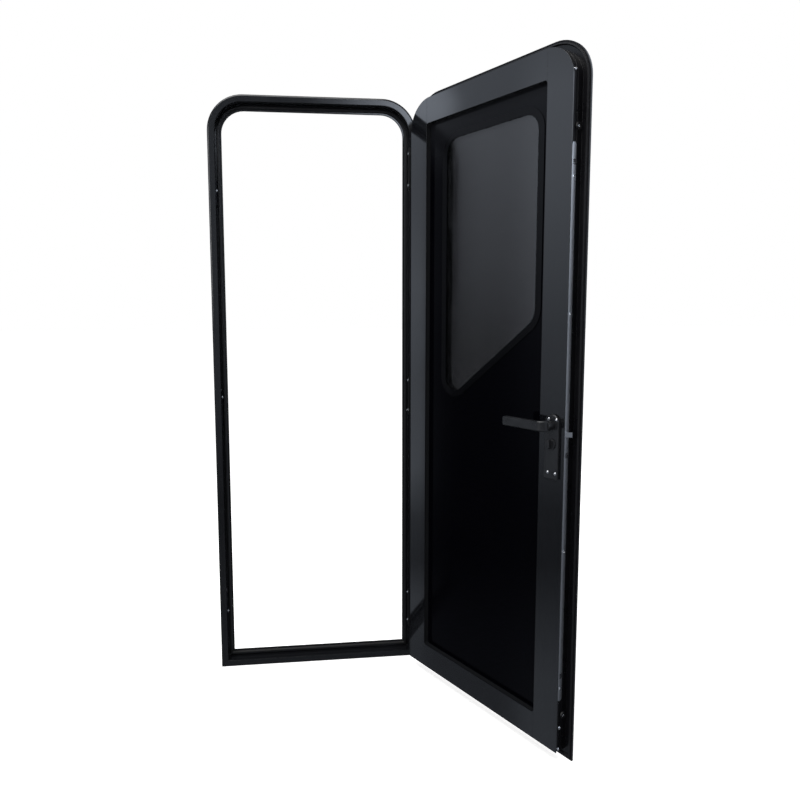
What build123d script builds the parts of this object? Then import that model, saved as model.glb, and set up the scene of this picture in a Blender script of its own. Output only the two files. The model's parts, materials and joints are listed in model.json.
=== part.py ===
from build123d import *
import os

# Caravan entry door: a bent aluminium frame for the wall and a hinged leaf with a
# slanted window, shown with the leaf swung out. Millimetres, +Z up, +X to the hinge
# side, +Y into the vehicle. Y = 0 is the outer skin of the wall, under the frame's flange.

# Frame
frame_width = 620.0
frame_height = 1754.0
frame_corner_radius = 105.0
origin_height = 12.0
flange_width = 20.0
flange_thick = 4.0
flange_edge_thick = 1.2
flange_crown_width = 5.0
web_thick = 2.5
web_depth = 37.0
lip_width = 17.0
lip_thick = 5.0
seal_groove_width = 5.0
seal_groove_depth = 2.5
seal_groove_inset = 5.0

# Leaf, given as it lies when shut
leaf_reveal = 3.5
leaf_lap = 22.5
leaf_end_room = 4.5
leaf_flange_thick = 4.0
leaf_flange_gap = 5.0
leaf_depth = 39.0
leaf_rim_width = 2.0
leaf_rim_height = 1.5
lock_groove_width = 15.0
lock_groove_depth = 2.0
edge_wall = 2.5
cover_thick = 2.5
hinge_stile_width = 68.0
lock_stile_width = 72.5
top_rail_height = 70.5
bottom_rail_height = 69.0
recess_depth = 16.0
recess_radius = 8.0
upstand_thick = 2.5
rail_joint_inset = 1.0
skin_thick = 3.0
panel_thick = 3.0
open_angle = 120.0

# Seals
seal_gap = 0.8
frame_seal_crown = 5.0
leaf_seal_inset = 3.5
leaf_seal_width = 7.0
leaf_seal_crown = 3.0

# Window, from the two side edges of the leaf and from the frame's upper edge
window_hinge_margin = 140.5
window_lock_margin = 107.0
window_top_margin = 160.0
window_height = 732.0
window_rise = 240.0
window_top_radius = 42.0
window_obtuse_radius = 55.0
window_acute_radius = 36.0
pane_margin = 10.0
pane_thick = 4.0
bezel_width = 18.0
bezel_thick = 2.0

# Hinges, from the frame's lower and upper edge
hinge_low_margin = 161.0
hinge_top_margin = 200.0
hinge_length = 120.0
hinge_plate = 2.0
hinge_plate_bevel = 8.0
hinge_barrel_radius = 5.0
hinge_pin_radius = 2.5
hinge_pin_proud = 1.5
hinge_knuckle_gap = 0.5
hinge_barrel_room = 1.0
hinge_end_room = 2.0
hinge_arm_width = 5.0
hinge_web_leg = 22.0
hinge_leaf_plate_width = 38.0
pivot_inset = 1.0
pivot_stand_off = 12.0
running_clearance = 0.05

# Lock on the free edge, from the frame's edges and from the spindle
lock_backset = 32.0
lock_pocket_room = 16.0
spindle_height = 850.0
latch_drop = 20.0
cylinder_drop = 46.0
dead_bolt_drop = 71.0
lower_bolt_height = 228.0
upper_bolt_margin = 297.0
faceplate_foot = 64.0
faceplate_head = 44.0
faceplate_side_gap = 0.2
bolt_thick = 10.0
bolt_tall = 12.0
bolt_length = 30.0
latch_throw = 12.0
bolt_clearance = 0.3
stud_height_low = 123.5
stud_margin_top = 217.0
stud_set_back = 22.0
stud_radius = 9.0
stud_tall = 3.0
stud_rim = 2.5
stud_floor = 1.0
stud_draft = 0.8

# Strikers on the lock jamb, from the bolt that each one takes
striker_width = 23.0
striker_thick = 1.5
striker_short_end = 24.0
striker_long_end = 56.0
striker_bevel = 4.0
striker_slot_room = 2.0

# Handle set
backplate_width = 41.0
backplate_thick = 7.0
backplate_rise = 26.0
backplate_length = 157.0
backplate_foot_round = 4.0
backplate_bevel = 1.5
neck_radius = 10.5
lever_foot_gap = 1.0
lever_reach = 42.0
lever_length = 118.0
lever_tall = 24.0
lever_thick = 11.0
lever_bend = 14.0
lever_bevel = 2.0
lever_tip_radius = 6.0
spindle_side = 8.0
cylinder_radius = 11.0
cylinder_proud = 1.0
thumb_disc_radius = 13.0
thumb_disc_thick = 3.0
thumb_bar_length = 22.0
thumb_bar_thick = 8.0
thumb_bar_height = 13.0

# Depths and sides that follow from the sizes above
half_frame = frame_width / 2
rebate_x = half_frame - flange_width
flange_front = -flange_thick
lip_front = web_depth - lip_thick
leaf_flange_back = flange_front - leaf_flange_gap
leaf_front = leaf_flange_back - leaf_flange_thick
leaf_inner = leaf_front + leaf_depth
cover_back = leaf_inner - cover_thick
groove_front = cover_back - lock_groove_width
panel_face = leaf_inner - recess_depth
panel_back = panel_face - panel_thick
skin_back = leaf_front + skin_thick
body_inset = leaf_reveal + leaf_lap
core_inset = body_inset + lock_groove_depth + edge_wall
half_body = half_frame - body_inset
recess_hinge = half_body - hinge_stile_width
recess_lock = lock_stile_width - half_body
window_width = 2 * half_body - window_hinge_margin - window_lock_margin
handle_x = lock_backset - half_body
bolt_y = groove_front + lock_groove_width / 2
stud_y = leaf_inner - stud_set_back
pivot_x = half_frame - pivot_inset
pivot_y = flange_front - pivot_stand_off
barrel_side = pivot_x - hinge_barrel_radius - hinge_barrel_room

# Heights in the row frame
frame_bottom = -origin_height
frame_top = frame_bottom + frame_height
body_bottom = frame_bottom + body_inset + leaf_end_room
body_top = frame_top - body_inset - leaf_end_room
recess_low = body_bottom + bottom_rail_height
recess_high = body_top - top_rail_height
window_top = frame_top - window_top_margin
spindle_z = frame_bottom + spindle_height
latch_z = spindle_z - latch_drop
cylinder_z = spindle_z - cylinder_drop
dead_bolt_z = spindle_z - dead_bolt_drop
lower_bolt_z = frame_bottom + lower_bolt_height
upper_bolt_z = frame_top - upper_bolt_margin
stud_zs = (frame_bottom + stud_height_low, frame_top - stud_margin_top)
lower_hinge_z = frame_bottom + hinge_low_margin
upper_hinge_z = frame_top - hinge_top_margin
hinge_zs = {"lower": lower_hinge_z, "middle": (lower_hinge_z + upper_hinge_z) / 2, "upper": upper_hinge_z}

shut_to_rest = Pos(pivot_x, pivot_y, 0) * Rot(0, 0, open_angle) * Pos(-pivot_x, -pivot_y, 0)


def wall_plane(y):
    # Upright plane facing outwards at depth y, with X to the right and Z up
    return Plane(origin=(0, y, 0), x_dir=(1, 0, 0), z_dir=(0, -1, 0))


def slab(outline, y_front, y_back):
    # Flat piece with an outline in X and Z between two depths
    return extrude(wall_plane(y_back) * outline, amount=y_back - y_front)


def side_slab(outline, x_low, x_high):
    # Flat piece with an outline in Y and Z between two sides
    side = Plane(origin=(x_low, 0, 0), x_dir=(0, 1, 0), z_dir=(1, 0, 0))
    return extrude(side * outline, amount=x_high - x_low)


def rectangle(left, right, low, high):
    middle = Pos((left + right) / 2, (low + high) / 2)
    return middle * Rectangle(right - left, high - low)


def rod_y(radius, x, z, y_low, y_high):
    # Round bar along Y
    return slab(Pos(x, z) * Circle(radius), y_low, y_high)


def leaf_outline(inset):
    # Leaf shape with round top corners, set in from the frame's outer edge
    low = frame_bottom + inset + leaf_end_room
    high = frame_top - inset - leaf_end_room
    face = rectangle(inset - half_frame, half_frame - inset, low, high)
    return fillet(face.vertices().group_by(Axis.Y)[-1], frame_corner_radius - inset)


def fused(pieces):
    # Pieces of one kind taken together, joined where they meet
    whole = pieces[0]
    for piece in pieces[1:]:
        whole = whole + piece
    return whole


def bent_round(profile, inset, end_room):
    # A profile bent up one side, over the top and down the other, and the mitred foot that
    # closes it. The profile lies in (distance inwards, depth) and starts at the given inset
    # from the frame's outer edge, with some more room at head and foot.
    half = half_frame - inset
    low = frame_bottom + inset + end_room
    high = frame_top - inset - end_room
    radius = frame_corner_radius - inset
    bend = high - radius
    mitre_lock = Plane(origin=(-half, 0, low), z_dir=(-1, 0, 1))
    mitre_hinge = Plane(origin=(half, 0, low), z_dir=(1, 0, 1))
    at_lock = Plane(origin=(-half, 0, low), x_dir=(1, 0, 0), z_dir=(0, 0, 1)) * profile
    at_bend = Plane(origin=(-half, 0, bend), x_dir=(1, 0, 0), z_dir=(0, 0, 1)) * profile
    at_top = Plane(origin=(radius - half, 0, high), x_dir=(0, 0, -1), z_dir=(1, 0, 0)) * profile
    at_end = Plane(origin=(half - radius, 0, high), x_dir=(0, 0, -1), z_dir=(1, 0, 0)) * profile
    at_hinge = Plane(origin=(half, 0, bend), x_dir=(-1, 0, 0), z_dir=(0, 0, -1)) * profile
    at_foot = Plane(origin=(half, 0, low), x_dir=(0, 0, 1), z_dir=(-1, 0, 0)) * profile
    surround = [
        split(extrude(at_lock, bend - low), mitre_lock, keep=Keep.TOP),
        revolve(at_bend, Axis((radius - half, 0, bend), (0, 1, 0)), 90),
        extrude(at_top, 2 * (half - radius)),
        revolve(at_end, Axis((half - radius, 0, bend), (0, 1, 0)), 90),
        split(extrude(at_hinge, bend - low), mitre_hinge, keep=Keep.TOP),
    ]
    foot = split(extrude(at_foot, 2 * half), mitre_lock, keep=Keep.BOTTOM)
    return fused(surround), split(foot, mitre_hinge, keep=Keep.BOTTOM)


def frame_profile():
    # Crowned flange over the wall, web through it, and a stop lip with a groove for the seal
    web_back = flange_width - web_thick
    lip_end = flange_width + lip_width
    groove_low = flange_width + seal_groove_inset
    groove_high = groove_low + seal_groove_width
    groove_floor = lip_front + seal_groove_depth
    walls = Polyline(
        (0, -flange_edge_thick),
        (0, 0),
        (web_back, 0),
        (web_back, web_depth),
        (lip_end, web_depth),
        (lip_end, lip_front),
        (groove_high, lip_front),
        (groove_high, groove_floor),
        (groove_low, groove_floor),
        (groove_low, lip_front),
        (flange_width, lip_front),
        (flange_width, flange_front),
        (flange_crown_width, flange_front),
    )
    crown = TangentArc((flange_crown_width, flange_front), (0, -flange_edge_thick), tangent=(-1, 0))
    return make_face(walls + crown)


def frame_seal_profile():
    # Foot in the groove and a flat-topped bulb that the leaf closes against
    middle = flange_width + seal_groove_inset + seal_groove_width / 2
    bulb = lip_front - leaf_inner - seal_gap
    foot = Pos(middle, lip_front + seal_groove_depth / 2) * Rectangle(seal_groove_width, seal_groove_depth)
    outline = Polyline(
        (middle - bulb, lip_front),
        (middle - frame_seal_crown / 2, lip_front - bulb),
        (middle + frame_seal_crown / 2, lip_front - bulb),
        (middle + bulb, lip_front),
        close=True,
    )
    return foot + make_face(outline)


def leaf_edge_profile():
    # Lap flange with a raised rim, then the edge wall with the groove that takes the lock
    wall_back = leaf_lap + lock_groove_depth + edge_wall
    outline = Polyline(
        (0, leaf_front),
        (wall_back, leaf_front),
        (wall_back, cover_back),
        (leaf_lap + lock_groove_depth, cover_back),
        (leaf_lap + lock_groove_depth, groove_front),
        (leaf_lap, groove_front),
        (leaf_lap, leaf_flange_back),
        (leaf_rim_width, leaf_flange_back),
        (leaf_rim_width, leaf_flange_back + leaf_rim_height),
        (0, leaf_flange_back + leaf_rim_height),
        close=True,
    )
    return make_face(outline)


def leaf_seal_profile():
    # Tapering bead on the back of the lap flange
    tip = flange_front - seal_gap
    middle = leaf_seal_inset + leaf_seal_width / 2
    outline = Polyline(
        (middle - leaf_seal_width / 2, leaf_flange_back),
        (middle - leaf_seal_crown / 2, tip),
        (middle + leaf_seal_crown / 2, tip),
        (middle + leaf_seal_width / 2, leaf_flange_back),
        close=True,
    )
    return make_face(outline)


def window_outline():
    # Four-sided light with a slanted lower edge, falling towards the hinge side
    hinge_side = half_body - window_hinge_margin
    lock_side = hinge_side - window_width
    low = window_top - window_height
    corners = [
        (lock_side, window_top),
        (hinge_side, window_top),
        (hinge_side, low),
        (lock_side, low + window_rise),
    ]
    face = make_face(Polyline(*corners, close=True))
    radii = [window_top_radius, window_top_radius, window_acute_radius, window_obtuse_radius]
    for corner, radius in zip(corners, radii):
        nearest = face.vertices().sort_by_distance((*corner, 0))[0]
        face = fillet(nearest, radius)
    return face


def bolt_cuts(room, x_low, x_high):
    # Openings for the latch and the bolts, larger than they are by the room on every side
    half_y = bolt_thick / 2 + room
    half_z = bolt_tall / 2 + room
    cuts = []
    for z in (lower_bolt_z, dead_bolt_z, latch_z, upper_bolt_z):
        outline = rectangle(bolt_y - half_y, bolt_y + half_y, z - half_z, z + half_z)
        cuts.append(side_slab(outline, x_low, x_high))
    return fused(cuts)


def make_frame():
    surround, sill = bent_round(frame_profile(), 0, 0)
    return {
        "frame_surround": surround - bolt_cuts(striker_slot_room, -half_frame, -half_body),
        "sill": sill,
        "frame_seal": fused(bent_round(frame_seal_profile(), 0, 0)),
    }


def make_strikers():
    # Plates on the web of the lock jamb, each with a long end for its screw
    spans = {
        "lower": (lower_bolt_z - striker_long_end, lower_bolt_z + striker_short_end),
        "main": (dead_bolt_z - striker_short_end, latch_z + striker_long_end),
        "upper": (upper_bolt_z - striker_short_end, upper_bolt_z + striker_long_end),
    }
    cuts = bolt_cuts(striker_slot_room, -half_frame, -half_body)
    parts = {}
    for name, (low, high) in spans.items():
        outline = rectangle(bolt_y - striker_width / 2, bolt_y + striker_width / 2, low, high)
        outline = chamfer(outline.vertices(), striker_bevel)
        parts[name + "_striker"] = side_slab(outline, -rebate_x, striker_thick - rebate_x) - cuts
    return parts


def knuckle(low, high):
    # One barrel of a hinge with its pin hole
    tall = high - low
    barrel = Cylinder(hinge_barrel_radius, tall) - Cylinder(hinge_pin_radius + running_clearance, tall)
    return Pos(pivot_x, pivot_y, (low + high) / 2) * barrel


def make_hinge(middle):
    # Frame plate with the outer two barrels, leaf plate with the middle one, and the pin
    low = middle - hinge_length / 2
    high = middle + hinge_length / 2
    third = hinge_length / 3
    frame_spans = [(low, low + third - hinge_knuckle_gap), (high - third + hinge_knuckle_gap, high)]
    leaf_span = (low + third, high - third)
    seat_front = flange_front - hinge_plate
    arm_x = pivot_x - hinge_arm_width / 2
    hole = Cylinder(hinge_pin_radius + running_clearance, 2 * hinge_length)
    hole = Pos(pivot_x, pivot_y, middle) * hole

    web_leg = rectangle(seat_front, hinge_web_leg + flange_front, low, high)
    web_leg = chamfer(web_leg.vertices().group_by(Axis.X)[-1], hinge_plate_bevel)
    frame_plate = side_slab(web_leg, rebate_x - hinge_plate, rebate_x)
    seat = rectangle(rebate_x - hinge_plate, arm_x, low, high)
    frame_plate = frame_plate + slab(seat, seat_front, flange_front)
    for span in frame_spans:
        arm = slab(rectangle(arm_x, arm_x + hinge_arm_width, *span), pivot_y, flange_front)
        frame_plate = frame_plate + (arm - hole) + knuckle(*span)

    flap = rectangle(barrel_side - hinge_leaf_plate_width, barrel_side, low, high)
    flap = chamfer(flap.vertices().group_by(Axis.X)[0], hinge_plate_bevel)
    tongue = rectangle(barrel_side - hinge_plate, pivot_x, *leaf_span)
    leaf_plate = slab(flap, leaf_front - hinge_plate, leaf_front)
    leaf_plate = leaf_plate + (slab(tongue, leaf_front - hinge_plate, leaf_front) - hole)
    leaf_plate = leaf_plate + knuckle(*leaf_span)

    pin = Cylinder(hinge_pin_radius, hinge_length + 2 * hinge_pin_proud)
    return frame_plate, leaf_plate, Pos(pivot_x, pivot_y, middle) * pin


def lock_pocket():
    # Cut-out for the lock case and the handle set, hidden under the backplates
    return rectangle(
        handle_x - lock_pocket_room,
        handle_x + lock_pocket_room,
        cylinder_z - lock_pocket_room,
        spindle_z + lock_pocket_room,
    )


def make_leaf_edges():
    # Bent edge with its mitred foot and bead, all cut back where the hinges pass
    surround, foot = bent_round(leaf_edge_profile(), leaf_reveal, leaf_end_room)
    bead = fused(bent_round(leaf_seal_profile(), leaf_reveal, leaf_end_room))
    half = hinge_length / 2 + hinge_end_room
    for z in hinge_zs.values():
        notch = rectangle(barrel_side, half_frame, z - half, z + half)
        surround = surround - slab(notch, leaf_front, flange_front)
        gap = rectangle(half_body, half_frame, z - half, z + half)
        bead = bead - slab(gap, leaf_flange_back, flange_front)
    return {
        "leaf_surround": surround - bolt_cuts(bolt_clearance, -rebate_x, handle_x),
        "bottom_edge": foot,
        "leaf_seal": bead,
    }


def recess_outline():
    # Edge of the sunk field between the covers
    face = rectangle(recess_lock, recess_hinge, recess_low, recess_high)
    return fillet(face.vertices(), recess_radius)


def make_covers():
    # Flat inner covers: the stiles carry the round top corners and run past the rails,
    # which butt against them
    cover = slab(leaf_outline(body_inset) - recess_outline(), cover_back, leaf_inner)
    lock_joint = recess_lock + rail_joint_inset
    hinge_joint = recess_hinge - rail_joint_inset
    middle = (recess_low + recess_high) / 2
    zones = {
        "hinge_stile": rectangle(hinge_joint, half_body, body_bottom, body_top),
        "lock_stile": rectangle(-half_body, lock_joint, body_bottom, body_top),
        "top_rail": rectangle(lock_joint, hinge_joint, middle, body_top),
        "bottom_rail": rectangle(lock_joint, hinge_joint, body_bottom, middle),
    }
    parts = {name: cover & slab(zone, cover_back, leaf_inner) for name, zone in zones.items()}
    parts["lock_stile"] = parts["lock_stile"] - slab(lock_pocket(), cover_back, leaf_inner)
    return parts


def make_panels():
    # Outer skin, foam core and inner panel, cut for the window and for the lock. The inner
    # panel has an upstand round the sunk field, up to the covers.
    face = leaf_outline(core_inset) - offset(window_outline(), pane_margin) - lock_pocket()
    recess = recess_outline()
    upstand = slab(offset(recess, upstand_thick) - recess, panel_face, cover_back)
    return {
        "outer_skin": slab(face, leaf_front, skin_back),
        "core": slab(face, skin_back, panel_back),
        "inner_panel": slab(face, panel_back, panel_face) + upstand,
    }


def make_window():
    # Two panes on a spacer, with a thin bezel round the light on each side
    light = window_outline()
    pane = offset(light, pane_margin)
    trim = offset(light, bezel_width) - light
    outer_pane_back = leaf_front + pane_thick
    inner_pane_front = panel_face - pane_thick
    return {
        "outer_pane": slab(pane, leaf_front, outer_pane_back),
        "window_spacer": slab(pane - light, outer_pane_back, inner_pane_front),
        "inner_pane": slab(pane, inner_pane_front, panel_face),
        "inner_bezel": slab(trim, panel_face, panel_face + bezel_thick),
        "outer_bezel": slab(trim, leaf_front - bezel_thick, leaf_front),
    }


def edge_stud(z):
    # Round bumper cup with a raised rim, standing on the free edge
    top_radius = stud_radius - stud_draft
    outline = Polyline(
        (0, 0),
        (stud_radius, 0),
        (top_radius, stud_tall),
        (top_radius - stud_rim, stud_tall),
        (top_radius - stud_rim, stud_floor),
        (0, stud_floor),
        close=True,
    )
    cup = revolve(Plane.XZ * make_face(outline), Axis.Z)
    return Pos(-half_body, stud_y, z) * Rot(0, -90, 0) * cup


def make_lock():
    # Faceplate in the lock groove, latch, bolts and the two edge studs
    low = lower_bolt_z - faceplate_foot
    high = upper_bolt_z + faceplate_head
    width = lock_groove_width - 2 * faceplate_side_gap
    outline = Pos(bolt_y, (low + high) / 2) * SlotOverall(high - low, width, rotation=90)
    plate = side_slab(outline, -half_body, lock_groove_depth - half_body)
    parts = {"lock_faceplate": plate - bolt_cuts(bolt_clearance, -rebate_x, handle_x)}

    front = bolt_y - bolt_thick / 2
    back = bolt_y + bolt_thick / 2
    for name, z in (("dead_bolt", dead_bolt_z), ("upper_bolt", upper_bolt_z), ("lower_bolt", lower_bolt_z)):
        face = rectangle(front, back, z - bolt_tall / 2, z + bolt_tall / 2)
        parts[name] = side_slab(face, -half_body, bolt_length - half_body)

    nose = -half_body - latch_throw
    bevel = Polyline(
        (nose, front),
        (nose + bolt_length, front),
        (nose + bolt_length, back),
        (nose + latch_throw, back),
        close=True,
    )
    wedge = extrude(make_face(bevel), bolt_tall)
    parts["latch_bolt"] = Pos(0, 0, latch_z - bolt_tall / 2) * wedge
    parts["edge_studs"] = fused([edge_stud(z) for z in stud_zs])
    return parts


def backplate(y_wall, outwards):
    # Long plate with a round head; outwards is the side that faces away from the leaf
    radius = backplate_width / 2
    top = spindle_z + backplate_rise
    foot = rectangle(handle_x - radius, handle_x + radius, top - backplate_length, top - radius)
    foot = fillet(foot.vertices().group_by(Axis.Y)[0], backplate_foot_round)
    face = foot + Pos(handle_x, top - radius) * Circle(radius)
    low, high = sorted((y_wall, y_wall + outwards * backplate_thick))
    plate = slab(face, low, high)
    rim = plate.faces().sort_by(Axis((0, 0, 0), (0, outwards, 0)))[-1].edges()
    plate = chamfer(rim, backplate_bevel)
    plate = plate - rod_y(neck_radius + bolt_clearance, handle_x, spindle_z, low, high)
    return plate - rod_y(cylinder_radius + bolt_clearance, handle_x, cylinder_z, low, high)


def lever(y_wall, outwards):
    # Round neck that bends into a flat bar with bevelled edges and a rounded tip
    foot_y = y_wall + outwards * lever_foot_gap
    arm_y = y_wall + outwards * lever_reach
    turn_y = arm_y - outwards * lever_bend
    root = (handle_x, turn_y - outwards * lever_thick, spindle_z)
    turn = (handle_x, turn_y, spindle_z)
    arm = (handle_x + lever_bend, arm_y, spindle_z)
    tip = (handle_x + lever_length, arm_y, spindle_z)
    bend = TangentArc(turn, arm, tangent=(0, outwards, 0))
    section = chamfer(Rectangle(lever_thick, lever_tall).vertices(), lever_bevel)
    start = Plane(origin=root, x_dir=(1, 0, 0), z_dir=(0, outwards, 0))
    bar = sweep(start * section, Wire([Line(root, turn), bend, Line(arm, tip)]))

    side = rectangle(handle_x - lever_tall, tip[0], spindle_z - lever_tall / 2, spindle_z + lever_tall / 2)
    side = fillet(side.vertices().group_by(Axis.X)[-1], lever_tip_radius)
    bar = bar & slab(side, *sorted((y_wall, arm_y + outwards * lever_thick)))
    return bar + rod_y(neck_radius, handle_x, spindle_z, *sorted((foot_y, turn_y)))


def make_handles():
    half = spindle_side / 2
    square = rectangle(handle_x - half, handle_x + half, spindle_z - half, spindle_z + half)
    inner_end = leaf_inner + backplate_thick
    disc_end = inner_end + thumb_disc_thick
    disc = rod_y(thumb_disc_radius, handle_x, cylinder_z, inner_end, disc_end)
    wing = Pos(handle_x, cylinder_z) * SlotOverall(thumb_bar_length, thumb_bar_thick, rotation=90)
    outer_end = leaf_front - backplate_thick - cylinder_proud
    return {
        "inner_backplate": backplate(leaf_inner, 1),
        "outer_backplate": backplate(leaf_front, -1),
        "inner_lever": lever(leaf_inner, 1),
        "outer_lever": lever(leaf_front, -1),
        "spindle": slab(square, leaf_front - lever_foot_gap, leaf_inner + lever_foot_gap),
        "lock_cylinder": rod_y(cylinder_radius, handle_x, cylinder_z, outer_end, inner_end),
        "thumb_turn": disc + slab(wing, disc_end, inner_end + thumb_bar_height),
    }


os.makedirs("parts", exist_ok=True)
fixed_parts = {**make_frame(), **make_strikers()}
leaf_parts = {**make_leaf_edges(), **make_covers(), **make_panels(), **make_window()}
leaf_parts.update({**make_lock(), **make_handles()})
hinge_pins = []
for hinge_name, hinge_z in hinge_zs.items():
    frame_half, leaf_half, hinge_pin = make_hinge(hinge_z)
    fixed_parts[hinge_name + "_hinge_frame_plate"] = frame_half
    leaf_parts[hinge_name + "_hinge_leaf_plate"] = leaf_half
    hinge_pins.append(hinge_pin)
fixed_parts["hinge_pins"] = fused(hinge_pins)
for part_name, part in fixed_parts.items():
    export_step(part, f"parts/{part_name}.step")
for part_name, part in leaf_parts.items():
    export_step(shut_to_rest * part, f"parts/{part_name}.step")
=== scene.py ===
import json
import bpy
import numpy as np
from mathutils import Matrix, Vector


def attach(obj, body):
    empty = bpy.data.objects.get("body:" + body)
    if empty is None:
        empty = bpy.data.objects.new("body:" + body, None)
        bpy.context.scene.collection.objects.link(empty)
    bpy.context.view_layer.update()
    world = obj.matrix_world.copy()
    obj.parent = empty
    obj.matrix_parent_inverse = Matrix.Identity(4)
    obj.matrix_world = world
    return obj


# Caravan entry door swung open: finishes, screws, light and camera round the CAD frame.
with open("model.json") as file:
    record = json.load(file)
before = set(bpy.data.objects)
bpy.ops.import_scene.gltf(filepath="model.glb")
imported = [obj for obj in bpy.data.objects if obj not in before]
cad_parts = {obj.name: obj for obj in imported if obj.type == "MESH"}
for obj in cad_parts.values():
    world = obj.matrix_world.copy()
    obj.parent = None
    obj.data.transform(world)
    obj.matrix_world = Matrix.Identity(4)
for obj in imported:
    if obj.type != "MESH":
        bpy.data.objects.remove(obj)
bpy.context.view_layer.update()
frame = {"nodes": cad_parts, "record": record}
nodes = frame["nodes"]
scene = bpy.context.scene
scene.view_settings.view_transform = "Standard"
print("frame loaded, nodes:", len(nodes))


# camera

photoCamera = {
    "place": (-0.03387, -1.98576, 1.10647),  # metres, in the row frame
    "yaw": 6.24,  # degrees from +Y towards +X
    "pitch": -5.76,
    "roll": -0.19,
    "lens": 28.96,  # millimetres
    "sensor": 36.0,
    "shift": (0.03075, -0.02831),
}


def makeCamera(settings):
    # forward is +Y turned by yaw and dipped by pitch; roll turns the right and up axes about it
    yaw, pitch, roll = np.radians([settings["yaw"], settings["pitch"], settings["roll"]])
    forward = np.array([np.sin(yaw) * np.cos(pitch), np.cos(yaw) * np.cos(pitch), np.sin(pitch)])
    level = np.array([np.cos(yaw), -np.sin(yaw), 0.0])
    upright = np.cross(level, forward)
    right = level * np.cos(roll) + upright * np.sin(roll)
    up = np.cross(right, forward)
    data = bpy.data.cameras.new("photoCamera")
    data.lens = settings["lens"]
    data.sensor_width = settings["sensor"]
    data.shift_x, data.shift_y = settings["shift"]
    camera = bpy.data.objects.new("photoCamera", data)
    scene.collection.objects.link(camera)
    turn = np.eye(4)
    turn[:3, :3] = np.column_stack([right, up, -forward])
    turn[:3, 3] = settings["place"]
    camera.matrix_world = Matrix(turn.tolist())
    scene.camera = camera


makeCamera(photoCamera)
print("camera set")


# nodes and colours

smooth = {"interpolation_type": "SMOOTHSTEP"}  # Map Range that eases in and out
colourMix = {"data_type": "RGBA"}
mixShare = 0  # sockets of a Mix node go by number, because several have the same name
levelFirst, levelSecond, levelOut = 2, 3, 0
colourFirst, colourSecond, colourOut = 6, 7, 2
white = (1.0, 1.0, 1.0, 1.0)


def addNode(tree, kind, settings=None, inputs=None):
    # one node with its settings, and its inputs either set to a value or linked from a socket
    node = tree.nodes.new(kind)
    for name, value in (settings or {}).items():
        setattr(node, name, value)
    for name, value in (inputs or {}).items():
        if isinstance(value, bpy.types.NodeSocket):
            tree.links.new(value, node.inputs[name])
        else:
            node.inputs[name].default_value = value
    return node


def hexColour(text):
    # sRGB hex to linear light
    part = np.array([int(text[i:i + 2], 16) for i in (1, 3, 5)]) / 255
    linear = np.where(part <= 0.04045, part / 12.92, ((part + 0.055) / 1.055) ** 2.4)
    return (*linear.tolist(), 1.0)


def perMetre(millimetres):
    # texture scale for a pattern of that size
    return 1000.0 / millimetres


# studio: white for the camera and the glazing; gloss sees a room of plain walls, bright on the left and
# high up on the right, dim in front, with a dark doorway behind and three windows

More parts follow.
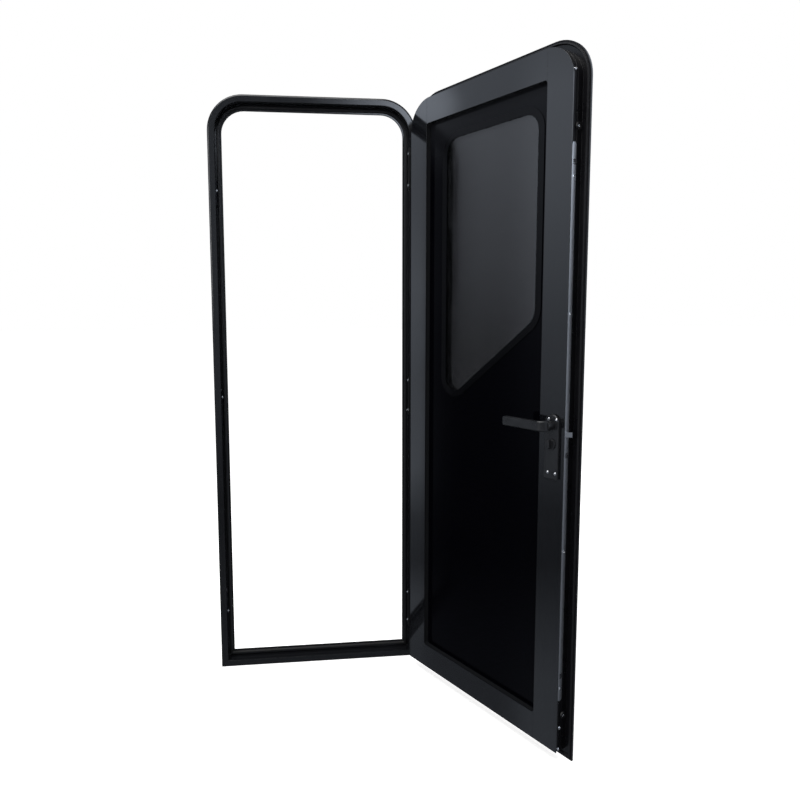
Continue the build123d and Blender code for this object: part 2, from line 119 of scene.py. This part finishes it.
studio = {
    "fill": 0.50,  # even light from all round
    "walls": {  # sine of the elevation, brightness seen in gloss
        "front": [
            (-1.0, 0.12), (-0.42, 0.16), (-0.28, 0.02), (-0.13, 0.30), (0.24, 0.40), (0.32, 0.16),
            (0.5, 0.04), (1.0, 0.03)],
        "frontRight": [
            (-1.0, 0.12), (-0.42, 0.15), (-0.28, 0.05), (0.10, 0.08), (0.30, 0.36), (0.45, 0.08),
            (1.0, 0.03)],
        "right": [
            (-1.0, 0.33), (-0.28, 0.32), (-0.08, 0.64), (0.25, 0.60), (0.40, 1.90), (0.65, 1.60),
            (1.0, 0.05)],
        "leftNear": [(-1.0, 0.10), (0.40, 0.30), (1.0, 0.05)],
        "leftFront": [
            (-1.0, 0.48), (-0.50, 0.42), (-0.36, 0.08), (-0.29, 0.12), (-0.20, 0.36), (-0.03, 0.60),
            (0.21, 1.24), (0.31, 1.36), (0.5, 0.40), (1.0, 0.05)],
        "leftMiddle": [
            (-1.0, 0.18), (-0.47, 0.19), (-0.36, 0.02), (-0.06, 0.06), (0.06, 0.44), (0.24, 0.90),
            (0.34, 0.95), (0.45, 0.20), (1.0, 0.05)],
        "leftDeep": [
            (-1.0, 0.17), (-0.47, 0.18), (-0.36, 0.02), (-0.06, 0.04), (0.20, 0.25), (0.29, 0.88),
            (0.34, 0.95), (0.45, 0.20), (1.0, 0.05)],
        "leftBack": [
            (-1.0, 0.20), (-0.47, 0.26), (-0.42, 0.44), (-0.37, 0.17), (-0.31, 0.28), (-0.24, 0.78),
            (-0.10, 0.76), (0.04, 1.00), (0.18, 0.80), (0.34, 0.95), (0.45, 0.20), (1.0, 0.05)],
        "leftFar": [(-1.0, 0.04), (1.0, 0.04)],
    },
    "turns": {  # span of X over which the room turns into each wall
        "frontRight": (0.02, 0.10),
        "right": (0.50, 0.75),
    },
    "leftTurns": {  # the same for the left wall, by Y of the level direction
        "leftFront": (-0.12, 0.04),
        "leftMiddle": (0.16, 0.215),
        "leftDeep": (0.25, 0.31),
        "leftBack": (0.322, 0.334),
        "leftFar": (0.40, 0.48),
    },
    "leftSpan": (-0.60, -0.82),  # X over which the left wall takes over
    "doorwaySpan": (0.30, 0.70),  # Y over which the walls darken behind the frame
    "doorwayShade": 0.20,  # what is left of their light there
    "windows": [  # where each lies, cosines at its edge and at full brightness, brightness
        {"towards": (-0.905, 0.310, 0.292), "edge": 0.99889, "full": 0.99998, "level": 1.4},
        {"towards": (0.157, -0.941, 0.300), "edge": 0.9955, "full": 0.9992, "level": 6.2},
        {"towards": (0.910, -0.250, 0.330), "edge": 0.9700, "full": 0.9950, "level": 1.6},
    ],
    "tone": (0.91, 1.0, 1.15),  # cool daylight in the gloss
    "lamps": {  # metres and watts
        "overheadSoftbox": {
            "place": (-0.4, -1.3, 3.6), "aim": (0.2, -0.2, 0.6), "size": (2.6, 2.0), "watts": 75},
        "frontSoftbox": {
            "place": (-2.6, -3.2, 2.2), "aim": (0.2, -0.2, 0.9), "size": (1.8, 2.2), "watts": 55},
        "backSoftbox": {
            "place": (2.6, 2.2, 2.6), "aim": (0.2, 0.0, 0.9), "size": (1.8, 1.8), "watts": 40},
    },
    "unseen": {"backSoftbox"},  # lamps that gloss does not show
    "floorLevel": -0.012,
    "floorReach": 40.0,
    "floorColour": "#F4F4F3",
    "floorGlow": 0.66,  # light that the camera sees in the floor on top of the lamps' light
}


rampTop = 2.0  # brightness that full white in a wall's ramp stands for


def addWall(tree, height, stops):
    # brightness by elevation; the ramp holds a share of each level, because some are over 1
    ramp = addNode(tree, "ShaderNodeValToRGB", inputs={"Fac": height})
    marks = ramp.color_ramp.elements
    for place, _ in stops[1:-1]:
        marks.new((place + 1) / 2)
    for mark, (place, level) in zip(marks, stops):
        mark.position = (place + 1) / 2
        mark.color = (level / rampTop,) * 3 + (1.0,)
    return addNode(tree, "ShaderNodeMath", {"operation": "MULTIPLY"}, {
        0: ramp.outputs[0], 1: rampTop}).outputs[0]


def turnWalls(tree, walls, level, turns, along):
    # from the first level into one wall after another
    for name, (start, end) in turns.items():
        share = addNode(tree, "ShaderNodeMapRange", smooth, {
            "Value": along, "From Min": start, "From Max": end}).outputs[0]
        level = addNode(tree, "ShaderNodeMix", inputs={
            mixShare: share, levelFirst: level, levelSecond: walls[name]}).outputs[levelOut]
    return level


def seenDirectly(tree, path):
    # 1 for what the camera sees, straight or through the glazing
    return addNode(tree, "ShaderNodeMath", {"operation": "MAXIMUM"}, {
        0: path["Is Camera Ray"], 1: path["Is Transmission Ray"]}).outputs[0]


def makeWorld(settings):
    world = bpy.data.worlds.new("whiteStudio")
    scene.world = world
    world.use_nodes = True
    tree = world.node_tree
    tree.nodes.clear()
    path = addNode(tree, "ShaderNodeLightPath").outputs
    where = addNode(tree, "ShaderNodeTexCoord").outputs["Generated"]
    axis = addNode(tree, "ShaderNodeSeparateXYZ", inputs={"Vector": where}).outputs
    height = addNode(tree, "ShaderNodeMapRange", inputs={"Value": axis["Z"], "From Min": -1.0}).outputs[0]
    walls = {name: addWall(tree, height, stops) for name, stops in settings["walls"].items()}
    level = turnWalls(tree, walls, walls["front"], settings["turns"], axis["X"])
    start, end = settings["doorwaySpan"]
    shade = addNode(tree, "ShaderNodeMapRange", smooth, {
        "Value": axis["Y"], "From Min": start, "From Max": end,
        "To Min": 1.0, "To Max": settings["doorwayShade"]}).outputs[0]
    level = addNode(tree, "ShaderNodeMath", {"operation": "MULTIPLY"}, {0: level, 1: shade}).outputs[0]
    # the level direction is the direction without its height
    flat = addNode(tree, "ShaderNodeVectorMath", {"operation": "MULTIPLY"}, {
        0: where, 1: (1, 1, 0)}).outputs[0]
    flat = addNode(tree, "ShaderNodeVectorMath", {"operation": "NORMALIZE"}, {0: flat}).outputs[0]
    flat = addNode(tree, "ShaderNodeSeparateXYZ", inputs={"Vector": flat}).outputs
    left = turnWalls(tree, walls, walls["leftNear"], settings["leftTurns"], flat["Y"])
    start, end = settings["leftSpan"]
    share = addNode(tree, "ShaderNodeMapRange", smooth, {
        "Value": axis["X"], "From Min": start, "From Max": end}).outputs[0]
    level = addNode(tree, "ShaderNodeMix", inputs={
        mixShare: share, levelFirst: level, levelSecond: left}).outputs[levelOut]
    for window in settings["windows"]:
        towards = Vector(window["towards"]).normalized()
        near = addNode(tree, "ShaderNodeVectorMath", {"operation": "DOT_PRODUCT"}, {0: where, 1: towards})
        pane = addNode(tree, "ShaderNodeMapRange", smooth, {
            "Value": near.outputs["Value"], "From Min": window["edge"], "From Max": window["full"],
            "To Max": window["level"]}).outputs[0]
        level = addNode(tree, "ShaderNodeMath", {"operation": "ADD"}, {0: level, 1: pane}).outputs[0]
    gloss = addNode(tree, "ShaderNodeVectorMath", {"operation": "SCALE"}, {
        0: settings["tone"], "Scale": level}).outputs[0]
    fill = (settings["fill"],) * 3 + (1.0,)
    lit = addNode(tree, "ShaderNodeMix", colourMix, {
        mixShare: path["Is Glossy Ray"], colourFirst: fill, colourSecond: gloss}).outputs[colourOut]
    shown = addNode(tree, "ShaderNodeMix", colourMix, {
        mixShare: seenDirectly(tree, path), colourFirst: lit, colourSecond: white}).outputs[colourOut]
    light = addNode(tree, "ShaderNodeBackground", inputs={"Color": shown, "Strength": 1.0})
    addNode(tree, "ShaderNodeOutputWorld", inputs={"Surface": light.outputs[0]})


def makeLamps(settings):
    for name, lamp in settings["lamps"].items():
        data = bpy.data.lights.new(name, "AREA")
        data.shape = "RECTANGLE"
        data.size, data.size_y = lamp["size"]
        data.energy = lamp["watts"]
        holder = bpy.data.objects.new(name, data)
        holder.visible_glossy = name not in settings["unseen"]
        scene.collection.objects.link(holder)
        place = Vector(lamp["place"])
        look = (Vector(lamp["aim"]) - place).to_track_quat("-Z", "Y").to_matrix().to_4x4()
        holder.matrix_world = Matrix.Translation(place) @ look


def makeFloor(settings):
    # a square at floor level; the camera sees it near white, less the object's shadow
    reach, level = settings["floorReach"], settings["floorLevel"]
    mesh = bpy.data.meshes.new("studioFloor")
    corners = [(x * reach, y * reach, level) for x, y in ((-1, -1), (1, -1), (1, 1), (-1, 1))]
    mesh.from_pydata(corners, [], [(0, 1, 2, 3)])
    floor = bpy.data.objects.new("studioFloor", mesh)
    scene.collection.objects.link(floor)
    floor.visible_glossy = False  # gloss sees the room's lower wall instead
    material = bpy.data.materials.new("whitePaperSweep")
    material.use_nodes = True
    tree = material.node_tree
    tree.nodes.clear()
    path = addNode(tree, "ShaderNodeLightPath").outputs
    paper = addNode(tree, "ShaderNodeBsdfDiffuse", inputs={"Color": hexColour(settings["floorColour"])})
    share = addNode(tree, "ShaderNodeMath", {"operation": "MULTIPLY"}, {
        0: seenDirectly(tree, path), 1: settings["floorGlow"]})
    glow = addNode(tree, "ShaderNodeEmission", inputs={"Color": white, "Strength": share.outputs[0]})
    both = addNode(tree, "ShaderNodeAddShader", inputs={0: paper.outputs[0], 1: glow.outputs[0]})
    addNode(tree, "ShaderNodeOutputMaterial", inputs={"Surface": both.outputs[0]})
    mesh.materials.append(material)


makeWorld(studio)
makeLamps(studio)
makeFloor(studio)
print("studio lit")


# finishes

bumpStrength = 0.3
cornerRays = {"samples": 4}


def startMaterial(name, sockets):
    # a principled surface with its plain values set, and the object's own coordinates
    material = bpy.data.materials.new(name)
    material.use_nodes = True
    tree = material.node_tree
    surface = tree.nodes["Principled BSDF"]
    for socket, value in sockets.items():
        surface.inputs[socket].default_value = value
    where = addNode(tree, "ShaderNodeTexCoord").outputs["Object"]
    return material, tree, surface, where


def linkSurface(tree, surface, sources):
    # the sockets of the surface that a pattern feeds
    for socket, source in sources.items():
        tree.links.new(source, surface.inputs[socket])


powderCoat = {
    "frame": {
        "name": "aluminiumBlackPowderCoat", "colour": "#0D0E10", "worn": "#131417",
        "rough": (0.13, 0.19), "gloss": 0.50},
    "edge": {
        "name": "aluminiumBlackCoatedExtrusion", "colour": "#050507", "worn": "#0A0A0D",
        "rough": (0.24, 0.34), "gloss": 0.30},
    "cover": {
        "name": "aluminiumGunmetalPowderCoat", "colour": "#0A0B0D", "worn": "#0E0F12",
        "rough": (0.05, 0.08), "gloss": 0.50},
    "hinge": {
        "name": "steelBlackElectrocoat", "colour": "#08080A", "worn": "#101113",
        "rough": (0.36, 0.48), "gloss": 0.30},
    "skin": {
        "name": "aluminiumSheetBlackCoated", "colour": "#0D0E10", "worn": "#131417",
        "rough": (0.22, 0.30), "gloss": 0.50},
    "ior": 1.5,
    "edgeMm": 1.0,  # corners are rounded by the coat
    "peelMm": 2.6,  # orange peel is about 1 mm, drawn coarser to show
    "peelDepth": 0.000004,  # metres
    "handledMm": 140.0,  # broad patches where the coat was wiped and handled
    "handledSpan": (0.35, 0.7),  # noise levels between smooth and dull
}


def makePowderCoat(kind):
    # Metal under a baked black coat: satin to semi-gloss, with rounded corners that catch the light, a faint
    # orange peel that softens what it reflects and broad patches a little duller where it was handled
    look = powderCoat[kind]
    material, tree, surface, where = startMaterial(look["name"], {
        "IOR": powderCoat["ior"], "Specular IOR Level": look["gloss"]})
    patch = addNode(tree, "ShaderNodeTexNoise", inputs={
        "Vector": where, "Scale": perMetre(powderCoat["handledMm"]),
        "Detail": 5.0, "Roughness": 0.6}).outputs[0]
    start, end = powderCoat["handledSpan"]
    dull = addNode(tree, "ShaderNodeMapRange", inputs={
        "Value": patch, "From Min": start, "From Max": end,
        "To Min": look["rough"][0], "To Max": look["rough"][1]})
    tint = addNode(tree, "ShaderNodeMix", colourMix, {
        mixShare: patch, colourFirst: hexColour(look["colour"]), colourSecond: hexColour(look["worn"])})
    peel = addNode(tree, "ShaderNodeTexNoise", inputs={
        "Vector": where, "Scale": perMetre(powderCoat["peelMm"]), "Detail": 2.0})
    corner = addNode(tree, "ShaderNodeBevel", cornerRays, {"Radius": powderCoat["edgeMm"] / 1000})
    bump = addNode(tree, "ShaderNodeBump", inputs={
        "Height": peel.outputs[0], "Strength": bumpStrength, "Distance": powderCoat["peelDepth"],
        "Normal": corner.outputs[0]})
    linkSurface(tree, surface, {
        "Base Color": tint.outputs[colourOut], "Roughness": dull.outputs[0], "Normal": bump.outputs[0]})
    return material


laminate = {
    "colour": "#010103", "scuff": "#030305", "ior": 1.5, "rough": 0.12, "gloss": 0.05,
    "grainMm": 0.8, "grainDepth": 0.00001, "cloudMm": 180.0,
    "paintedTopSheen": "#141518", "paintedTopSheenSpan": (1.47, 1.68),  # metres up; painted sheen: lighter towards the top, standing in for the bright ceiling the face mirrors
    "rim": "#18191B", "inward": (-0.866, -0.5, 0.0),  # painted light on the rim; inward is the way the flat face looks at rest
    "paintedLiftSpan": (0.5, 0.9),  # cosines to that way, from rim to flat
}


def makeLaminate():
    # Black decor laminate pressed against a satin release sheet: a faint gloss, a fine dry grain, soft clouds
    # where it was wiped, painted sheen that greys it towards the top, and a greyer rim of painted light on
    # the walls of the recess to lift their shade
    material, tree, surface, where = startMaterial("laminateBlackMattPressed", {
        "IOR": laminate["ior"], "Roughness": laminate["rough"], "Specular IOR Level": laminate["gloss"]})
    cloud = addNode(tree, "ShaderNodeTexNoise", inputs={
        "Vector": where, "Scale": perMetre(laminate["cloudMm"]), "Detail": 6.0, "Roughness": 0.65})
    tint = addNode(tree, "ShaderNodeMix", colourMix, {
        mixShare: cloud.outputs[0], colourFirst: hexColour(laminate["colour"]),
        colourSecond: hexColour(laminate["scuff"])}).outputs[colourOut]
    height = addNode(tree, "ShaderNodeSeparateXYZ", inputs={"Vector": where}).outputs["Z"]
    # painted sheen: the colour lightens towards the top, in place of a reflection
    start, end = laminate["paintedTopSheenSpan"]
    paintedSheenShare = addNode(tree, "ShaderNodeMapRange", smooth, {
        "Value": height, "From Min": start, "From Max": end}).outputs[0]
    tint = addNode(tree, "ShaderNodeMix", colourMix, {
        mixShare: paintedSheenShare, colourFirst: tint, colourSecond: hexColour(laminate["paintedTopSheen"])}).outputs[colourOut]
    # painted light: faces turned away from the flat face, the recess walls and edges, are made greyer to lift
    # their shade
    facing = addNode(tree, "ShaderNodeTexCoord").outputs["Normal"]
    facing = addNode(tree, "ShaderNodeVectorMath", {"operation": "DOT_PRODUCT"}, {
        0: facing, 1: laminate["inward"]}).outputs["Value"]
    start, end = laminate["paintedLiftSpan"]
    paintedLiftShare = addNode(tree, "ShaderNodeMapRange", smooth, {
        "Value": facing, "From Min": start, "From Max": end, "To Min": 1.0, "To Max": 0.0}).outputs[0]
    tint = addNode(tree, "ShaderNodeMix", colourMix, {
        mixShare: paintedLiftShare, colourFirst: tint, colourSecond: hexColour(laminate["rim"])}).outputs[colourOut]
    grain = addNode(tree, "ShaderNodeTexNoise", inputs={
        "Vector": where, "Scale": perMetre(laminate["grainMm"]), "Detail": 3.0})
    bump = addNode(tree, "ShaderNodeBump", inputs={
        "Height": grain.outputs[0], "Strength": bumpStrength, "Distance": laminate["grainDepth"]})
    linkSurface(tree, surface, {"Base Color": tint, "Normal": bump.outputs[0]})
    return material


glazing = {
    "tint": "#5C5D60", "ior": 1.49, "rough": (0.06, 0.13),
    "filmMm": 26.0, "filmSpan": (0.4, 0.75), "filmStretch": (1.0, 1.0, 0.22),
}


def makeGlazing():
    # Smoked acrylic sheet, cast: dark and clear, with faint upright streaks in the film on it
    material, tree, surface, where = startMaterial("acrylicSmokedCast", {
        "IOR": glazing["ior"], "Transmission Weight": 1.0, "Base Color": hexColour(glazing["tint"])})
    stretched = addNode(tree, "ShaderNodeMapping", inputs={"Vector": where, "Scale": glazing["filmStretch"]})
    streak = addNode(tree, "ShaderNodeTexNoise", inputs={
        "Vector": stretched.outputs[0], "Scale": perMetre(glazing["filmMm"]),
        "Detail": 6.0, "Roughness": 0.7})
    start, end = glazing["filmSpan"]
    haze = addNode(tree, "ShaderNodeMapRange", inputs={
        "Value": streak.outputs[0], "From Min": start, "From Max": end,
        "To Min": glazing["rough"][0], "To Max": glazing["rough"][1]})
    linkSurface(tree, surface, {"Roughness": haze.outputs[0]})
    return material


mouldings = {
    "seal": {
        "name": "rubberBlackExtruded", "colour": "#08080A", "bloom": "#0F0F12",
        "rough": 0.42, "ior": 1.52, "gloss": 0.45},
    "trim": {
        "name": "plasticBlackMoulded", "colour": "#020203", "bloom": "#050507",
        "rough": 0.16, "ior": 1.49, "gloss": 0.10},
    "stud": {
        "name": "nylonBlackMoulded", "colour": "#08080A", "bloom": "#101113",
        "rough": 0.45, "ior": 1.53, "gloss": 0.40},
    "foam": {
        "name": "foamRigidCream", "colour": "#CFC6AE", "bloom": "#DCD5C2",
        "rough": 0.85, "ior": 1.45, "gloss": 0.50},
    "grainMm": 1.6,
    "grainDepth": 0.00004,  # metres
    "bloomMm": 45.0,
}


def makeMoulding(kind):
    # Rubber, plastic and foam as they leave the die or mould: dull, the window's trim smoother, with a pale
    # bloom in patches
    look = mouldings[kind]
    material, tree, surface, where = startMaterial(look["name"], {
        "IOR": look["ior"], "Roughness": look["rough"], "Specular IOR Level": look["gloss"]})
    bloom = addNode(tree, "ShaderNodeTexNoise", inputs={
        "Vector": where, "Scale": perMetre(mouldings["bloomMm"]), "Detail": 5.0})
    tint = addNode(tree, "ShaderNodeMix", colourMix, {
        mixShare: bloom.outputs[0], colourFirst: hexColour(look["colour"]),
        colourSecond: hexColour(look["bloom"])})
    grain = addNode(tree, "ShaderNodeTexNoise", inputs={
        "Vector": where, "Scale": perMetre(mouldings["grainMm"]), "Detail": 2.0})
    bump = addNode(tree, "ShaderNodeBump", inputs={
        "Height": grain.outputs[0], "Strength": bumpStrength, "Distance": mouldings["grainDepth"]})
    linkSurface(tree, surface, {"Base Color": tint.outputs[colourOut], "Normal": bump.outputs[0]})
    return material


plated = {
    "brushed": {
        "name": "steelZincPlatedBrushed", "colour": "#C9CACC", "stain": "#A6A7AA", "rough": (0.26, 0.36)},
    "bright": {
        "name": "steelNickelPlatedBright", "colour": "#D8D9DB", "stain": "#BDBEC1", "rough": (0.14, 0.24)},
    # painted shade: a darker copy of the plated steel, for the strikers
    "dark": {
        "name": "steelPlatedStrikerShaded", "colour": "#35363A", "stain": "#28292C", "rough": (0.34, 0.46)},
    "brushMm": 1.2,  # brush lines are finer than this, drawn coarser to show
    "brushSpan": (0.3, 0.7),
    "brushStretch": (1.0, 1.0, 0.03),
}


def makePlated(kind):
    # Plated steel: brushed along its length on the lock plate, bright on bolts and screws, with dull spots;
    # the strikers get a darker copy, painted shade for the dark jamb they sit in and mirror
    look = plated[kind]
    material, tree, surface, where = startMaterial(look["name"], {"Metallic": 1.0})
    along = addNode(tree, "ShaderNodeMapping", inputs={"Vector": where, "Scale": plated["brushStretch"]})
    brush = addNode(tree, "ShaderNodeTexNoise", inputs={
        "Vector": along.outputs[0], "Scale": perMetre(plated["brushMm"]), "Detail": 3.0}).outputs[0]
    start, end = plated["brushSpan"]
    dull = addNode(tree, "ShaderNodeMapRange", inputs={
        "Value": brush, "From Min": start, "From Max": end,
        "To Min": look["rough"][0], "To Max": look["rough"][1]})
    tint = addNode(tree, "ShaderNodeMix", colourMix, {
        mixShare: brush, colourFirst: hexColour(look["colour"]), colourSecond: hexColour(look["stain"])})
    linkSurface(tree, surface, {"Base Color": tint.outputs[colourOut], "Roughness": dull.outputs[0]})
    return material


handleCoat = {
    "colour": "#0F1012", "worn": "#1B1C1F", "ior": 1.52, "rough": (0.26, 0.38),
    "wipeMm": 30.0, "wipeSpan": (0.35, 0.7),
    "peelMm": 1.8, "peelDepth": 0.00002,  # metres
    "edgeMm": 1.5,
}


def makeHandleCoat():
    # Zinc casting under satin black stove enamel: a softer sheen than the powder coat, with rounded edges
    # that catch a thin line of light and patches worn by the hand
    material, tree, surface, where = startMaterial("zincCastingBlackEnamel", {"IOR": handleCoat["ior"]})
    wipe = addNode(tree, "ShaderNodeTexNoise", inputs={
        "Vector": where, "Scale": perMetre(handleCoat["wipeMm"]), "Detail": 4.0}).outputs[0]
    start, end = handleCoat["wipeSpan"]
    dull = addNode(tree, "ShaderNodeMapRange", inputs={
        "Value": wipe, "From Min": start, "From Max": end,
        "To Min": handleCoat["rough"][0], "To Max": handleCoat["rough"][1]})
    tint = addNode(tree, "ShaderNodeMix", colourMix, {
        mixShare: wipe, colourFirst: hexColour(handleCoat["colour"]),
        colourSecond: hexColour(handleCoat["worn"])})
    peel = addNode(tree, "ShaderNodeTexNoise", inputs={
        "Vector": where, "Scale": perMetre(handleCoat["peelMm"]), "Detail": 2.0})
    corner = addNode(tree, "ShaderNodeBevel", cornerRays, {"Radius": handleCoat["edgeMm"] / 1000})
    bump = addNode(tree, "ShaderNodeBump", inputs={
        "Height": peel.outputs[0], "Strength": bumpStrength, "Distance": handleCoat["peelDepth"],
        "Normal": corner.outputs[0]})
    linkSurface(tree, surface, {
        "Base Color": tint.outputs[colourOut], "Roughness": dull.outputs[0], "Normal": bump.outputs[0]})
    return material


finishes = {
    "frame_black": makePowderCoat("frame"),
    "edge_black": makePowderCoat("edge"),
    "cover_grey": makePowderCoat("cover"),
    "hinge_black": makePowderCoat("hinge"),
    "skin_black": makePowderCoat("skin"),
    "panel_black": makeLaminate(),
    "smoked_glazing": makeGlazing(),
    "seal_rubber": makeMoulding("seal"),
    "window_trim": makeMoulding("trim"),
    "stud_plastic": makeMoulding("stud"),
    "foam": makeMoulding("foam"),
    "steel": makePlated("brushed"),
    "bolt_steel": makePlated("bright"),
    "handle_black": makeHandleCoat(),
}
shadedStrikerSteel = makePlated("dark")  # painted shade: strikers share the steel slot, but get a darker copy
for part in frame["record"]["subparts"]:
    finish = shadedStrikerSteel if part["node"].endswith("_striker") else finishes[part["material_slot"]]
    for holder in nodes[part["node"]].material_slots:
        holder.material = finish
print("finishes made:", len(finishes) + 1)


# screws and bolts, as polar grids

leafSwing = {"pivot": (0.309, -0.016), "angle": 120.0}  # the leaf stands this far open at rest

heads = {  # millimetres; reach is a share of the radius
    "panCross": {
        "radius": 4.2, "rise": 2.6, "edge": 0.5, "sink": 0.8, "slot": 0.55, "reach": 0.62, "sides": 2},
    "flatCross": {
        "radius": 3.8, "rise": 0.6, "edge": 0.2, "sink": 0.5, "slot": 0.55, "reach": 0.60, "sides": 2},
    "socketBolt": {
        "radius": 4.6, "rise": 1.6, "edge": 1.3, "sink": 1.0, "slot": 2.2, "sides": 3},
    "rings": 16,
    "steps": 48,
    "crowding": 0.8,  # under 1, rings lie closer together towards the rim
}


def screwHead(kind):
    # Rings of radius r from the middle out, angle a round each. Height is the edge plus a dome of
    # (1 - r squared), less the drive: a cross sinks where r times the smaller of |sin a| and |cos a| is
    # under the slot's half width, a socket where r times the largest of its sides' cosines is. The rim
    # drops to the seat and a fan closes the underside.
    look = heads[kind]
    count, steps, sides = heads["rings"], heads["steps"], look["sides"]
    share = np.linspace(0, 1, count + 1)[1:, None] ** heads["crowding"]
    angle = np.arange(steps)[None, :] * 2 * np.pi / steps
    r = share * look["radius"] + 0 * angle
    dome = look["edge"] + (look["rise"] - look["edge"]) * (1 - (r / look["radius"]) ** 2)
    if sides == 2:
        across = r * np.minimum(np.abs(np.sin(angle)), np.abs(np.cos(angle)))
        inside = (across < look["slot"]) & (r < look["reach"] * look["radius"])
    else:
        turns = np.arange(sides)[:, None, None] * np.pi / sides
        inside = (r[None] * np.abs(np.cos(angle[None] - turns))).max(0) < look["slot"]
    height = dome - look["sink"] * inside
    rows = np.concatenate([height, np.zeros((1, steps))])
    radii = np.concatenate([r, r[-1:]])
    grid = np.stack([radii * np.cos(angle), radii * np.sin(angle), rows], -1).reshape(-1, 3)
    ends = np.array([[0, 0, look["rise"] - look["sink"]], [0, 0, 0]])
    points = np.concatenate([grid, ends]) / 1000
    inner = np.arange(count)[:, None] * steps
    outer = inner + steps
    this = np.arange(steps)[None, :]
    nextOne = (this + 1) % steps
    quads = np.stack([inner + this, outer + this, outer + nextOne, inner + nextOne], -1).reshape(-1, 4)
    top, under = len(grid), len(grid) + 1
    rim = count * steps
    fanTop = np.stack([0 * this[0] + top, this[0], nextOne[0]], -1)
    fanUnder = np.stack([0 * this[0] + under, rim + nextOne[0], rim + this[0]], -1)
    return points, quads, np.concatenate([fanTop, fanUnder])


def turnAbout(angle, pivot):
    # turn in plan about an upright line, as a 4 by 4 matrix
    c, s = np.cos(angle), np.sin(angle)
    x, y = pivot
    return np.array([
        [c, -s, 0, x - c * x + s * y], [s, c, 0, y - s * x - c * y], [0, 0, 1, 0], [0, 0, 0, 1]])


def placeHeads(name, kind, body, slot, seats):
    # seats are rows of a point in millimetres, the way out of the surface and the turn of the drive in
    # degrees; leaf pieces are given as they lie when shut and then swung to rest
    points, quads, fans = screwHead(kind)
    seats = np.array(seats, float)
    out = seats[:, 3:6] / np.linalg.norm(seats[:, 3:6], axis=1, keepdims=True)
    side = np.cross(out, [0.0, 0.0, 1.0])  # no head faces straight up or down
    side /= np.linalg.norm(side, axis=1, keepdims=True)
    other = np.cross(out, side)
    spin = np.radians(seats[:, 6:7])
    first = side * np.cos(spin) + other * np.sin(spin)
    second = np.cross(out, first)
    axes = np.stack([first, second, out], 1)
    placed = np.einsum("pk,nkj->npj", points, axes) + seats[:, None, :3] / 1000
    if body != "frame":
        swing = turnAbout(np.radians(leafSwing["angle"]), leafSwing["pivot"])
        placed = placed @ swing[:3, :3].T + swing[:3, 3]
    shift = np.arange(len(seats))[:, None, None] * len(points)
    faces = [*(quads[None] + shift).reshape(-1, 4).tolist(), *(fans[None] + shift).reshape(-1, 3).tolist()]
    mesh = bpy.data.meshes.new(name)
    mesh.from_pydata(placed.reshape(-1, 3).tolist(), [], faces)
    mesh.materials.append(finishes[slot])
    piece = bpy.data.objects.new(name, mesh)
    scene.collection.objects.link(piece)
    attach(piece, body)


jambHinges = (152.0, 846.5, 1540.0)  # heights of the middles of the hinges' screw rows
leafHinges = (149.0, 845.5, 1542.0)
screws = {
    "hingeJambScrews": ("panCross", "frame", "bolt_steel", [
        (288.0, 11.0, z + d, -1, 0, 0, 20 * i + d)
        for i, z in enumerate(jambHinges) for d in (-47, 47)]),
    "strikerScrews": ("panCross", "frame", "bolt_steel", [
        (-288.5, 16.0, z, 1, 0, 0, t) for z, t in ((164.5, 10), (849.0, 55), (1468.0, 30))]),
    "lockPlateScrews": ("flatCross", "leaf", "bolt_steel", [
        (-284.0, 16.0, z, -1, 0, 0, t) for z, t in ((185.0, 5), (532.0, 40), (1101.0, 70), (1412.0, 25))]),
    "edgeEndScrews": ("panCross", "leaf", "bolt_steel", [
        (-282.0, 15.0, 23.5, -1, 0, 0, 15),
        (-282.0, 13.0, 79.0, -1, 0, 0, 50),
        (-280.5, 15.0, 1648.0, -1, 0, 0.2, 35)]),
    "studBolts": ("socketBolt", "leaf", "bolt_steel", [
        (-285.0, 4.0, z, -1, 0, 0, t) for z, t in ((111.5, 0), (1525.0, 20))]),
    "backplateScrews": ("panCross", "leaf", "bolt_steel", [
        (-254.5 + d, 33.0, z, 0, 1, 0, 3 * d) for z in (722.0, 852.0) for d in (-11, 11)]),
    "hingeLeafScrews": ("panCross", "leaf", "bolt_steel", [
        (284.0, -15.0, z + d, 0, -1, 0, 15 * i + d)
        for i, z in enumerate(leafHinges) for d in (-44, 0, 44)]),
}
for name, (kind, body, slot, seats) in screws.items():
    placeHeads(name, kind, body, slot, seats)
print("screws placed:", sum(len(s[3]) for s in screws.values()))
